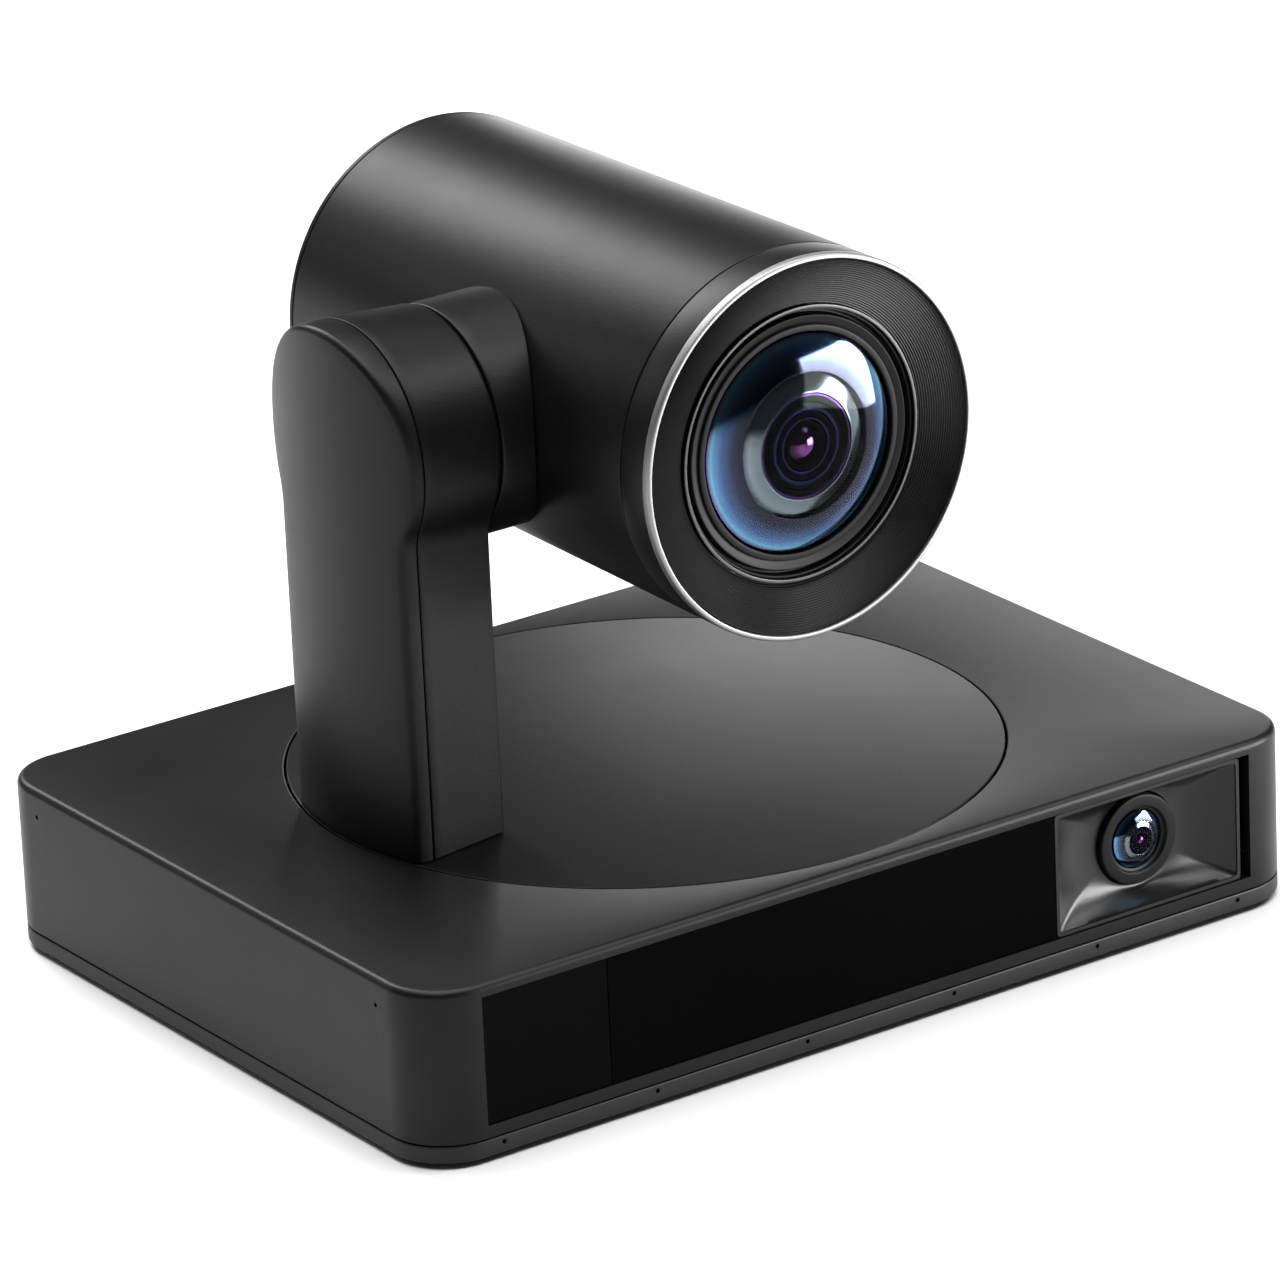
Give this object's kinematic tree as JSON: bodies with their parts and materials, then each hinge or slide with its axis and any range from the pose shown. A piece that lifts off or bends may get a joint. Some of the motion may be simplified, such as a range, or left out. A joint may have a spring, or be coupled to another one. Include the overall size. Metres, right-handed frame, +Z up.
{
  "type": "ptz camera",
  "caption": "Conference camera: flat base with a wide-angle camera, panning turntable, side arm and a tilting barrel zoom camera.",
  "frame": {"origin": "on the surface the camera stands on, under the pan axis, which is the centre of the base", "axes": "+Z up, along the pan axis; -Y is the direction the lenses face; +X is the side of the base with the wide-angle camera, away from the arm"},
  "size_m": [0.26, 0.19, 0.1907],
  "materials": {
    "satin_body": "fine satin texture",
    "cover_band": "satin",
    "gloss_panel": "polished",
    "optic_black": "matte black",
    "lens_glass": "coated",
    "bright_rim": "polished",
    "rubber_feet": "matte",
    "steel": "plain",
    "brass_insert": "machined",
    "board": "solder mask",
    "motor_case": "satin"
  },
  "bodies": {
    "base": {"base_bottom_cover": "cover_band", "base_chassis": "steel", "base_screw_front_left": "steel", "base_screw_front_right": "steel", "base_screw_rear_left": "steel", "base_screw_rear_right": "steel", "base_top_shell": "satin_body", "foot_front_left": "rubber_feet", "foot_front_right": "rubber_feet", "foot_rear_left": "rubber_feet", "foot_rear_right": "rubber_feet", "front_panel": "gloss_panel", "hdmi_port": "steel", "lan_port": "steel", "main_board": "board", "pan_bearing": "steel", "pan_belt": "rubber_feet", "pan_motor": "motor_case", "port_plate": "satin_body", "power_jack": "optic_black", "side_window": "gloss_panel", "tripod_insert": "brass_insert", "usb_port": "steel", "wide_camera_board": "board", "wide_lens_bezel": "satin_body", "wide_lens_core": "optic_black", "wide_lens_glass": "lens_glass", "wide_lens_housing": "optic_black"},
    "turntable": {"turntable": "satin_body", "pan_hub": "bright_rim", "pan_pulley": "cover_band", "arm_housing": "satin_body", "arm_outer_cover": "satin_body", "arm_frame": "steel", "arm_screw_1": "steel", "arm_screw_2": "steel", "tilt_motor": "motor_case", "tilt_bearing": "steel", "tilt_belt": "rubber_feet"},
    "head": {"tilt_shaft": "steel", "tilt_pulley": "cover_band", "neck_collar": "satin_body", "barrel_shell": "satin_body", "barrel_rear_cap": "satin_body", "front_bezel": "satin_body", "bezel_rim": "bright_rim", "hood_ring": "optic_black", "lens_retainer": "optic_black", "front_glass": "lens_glass", "lens_tube": "optic_black", "lens_cone": "optic_black", "second_lens": "lens_glass", "sensor_board": "board", "lens_cradle": "steel"},
    "zoom_group": {"zoom_group": "optic_black"},
    "focus_group": {"focus_group": "optic_black"},
    "pan_motor_rotor": {"pan_motor_rotor": "steel"},
    "tilt_motor_rotor": {"tilt_motor_rotor": "steel"},
    "reset_button": {"reset_button": "cover_band"}
  },
  "joints": [
    {"name": "pan", "type": "hinge", "parent": "base", "child": "turntable", "pos_m": [0, 0, 0.0448], "axis": [0, 0, 1], "range_deg": [-100, 100]},
    {"name": "tilt", "type": "hinge", "parent": "turntable", "child": "head", "pos_m": [0, 0, 0.1434], "axis": [1, 0, 0], "range_deg": [-30, 30]},
    {"name": "pan_motor_turn", "type": "hinge", "parent": "base", "child": "pan_motor_rotor", "pos_m": [0.084, 0, 0.034], "axis": [0, 0, 1], "range_deg": [-700, 700]},
    {"name": "tilt_motor_turn", "type": "hinge", "parent": "turntable", "child": "tilt_motor_rotor", "pos_m": [-0.077, 0, 0.0854], "axis": [1, 0, 0], "range_deg": [-95, 95]},
    {"name": "zoom_slide", "type": "slide", "parent": "head", "child": "zoom_group", "axis": [0, 1, 0], "range_m": [0, 0.0135]},
    {"name": "focus_slide", "type": "slide", "parent": "head", "child": "focus_group", "axis": [0, 1, 0], "range_m": [0, 0.01]},
    {"name": "reset_press", "type": "slide", "parent": "base", "child": "reset_button", "axis": [0, -1, 0], "range_m": [0, 0.001], "stiffness_N_per_m": 400}
  ],
  "couplings": [
    {"joint": "pan_motor_turn", "follows": "pan", "ratio": 6.875},
    {"joint": "tilt_motor_turn", "follows": "tilt", "ratio": 3}
  ]
}
